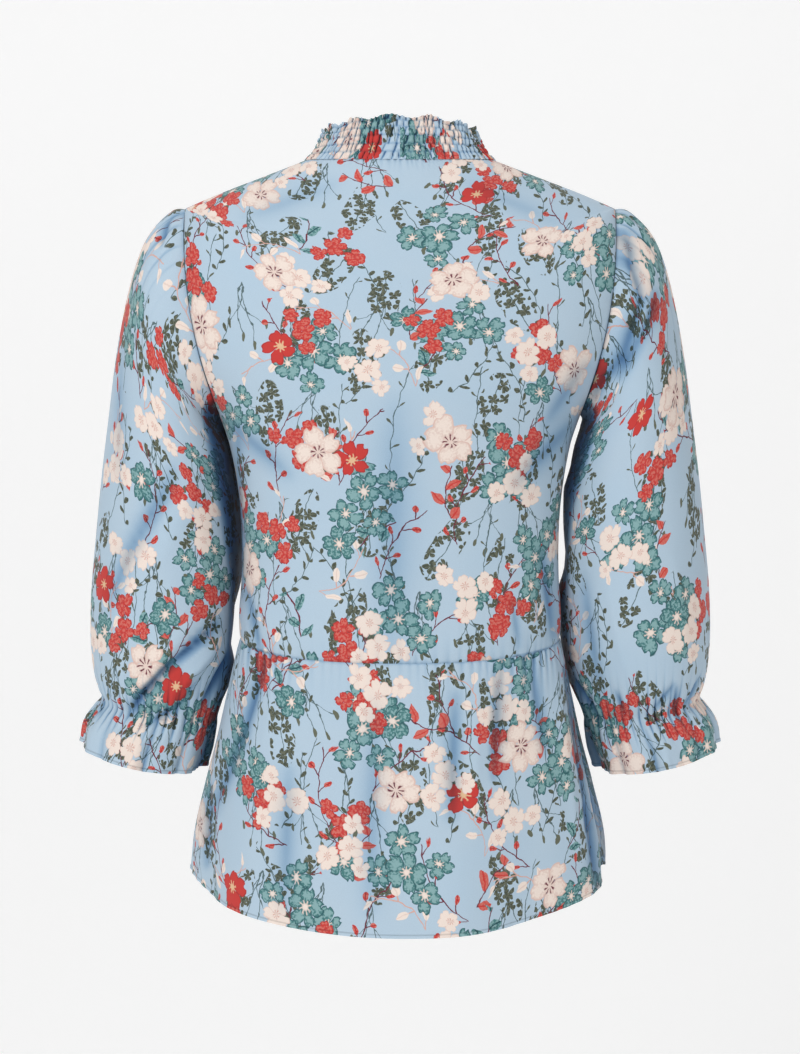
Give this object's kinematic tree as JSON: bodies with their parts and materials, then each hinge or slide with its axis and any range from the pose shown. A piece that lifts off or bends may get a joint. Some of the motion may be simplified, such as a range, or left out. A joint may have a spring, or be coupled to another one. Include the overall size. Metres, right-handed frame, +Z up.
{
  "type": "smocked-neck peplum blouse",
  "caption": "Filled-out woven blouse with a smocked stand neck, full gathered sleeves with frilled elastic cuffs, and a flared peplum below a curved waist seam.",
  "frame": {"origin": "on the wearer's axis, between the inner ends of the shoulder seams, where the shoulders hold the blouse up", "axes": "+Z up, -Y towards the wearer's front, +X towards the wearer's left"},
  "size_m": [0.542, 0.2683, 0.6667],
  "materials": {
    "printed_crepe": "matt woven crepe with a scattered flower print on a sky-blue ground",
    "smocked_crepe": "the same crepe drawn up on rows of elastic thread"
  },
  "bodies": {
    "root": {"bodice_back": "printed_crepe", "bodice_front": "printed_crepe", "peplum_back": "printed_crepe", "peplum_front": "printed_crepe", "sleeve_left": "printed_crepe", "sleeve_right": "printed_crepe", "neck_band": "smocked_crepe"}
  },
  "joints": []
}
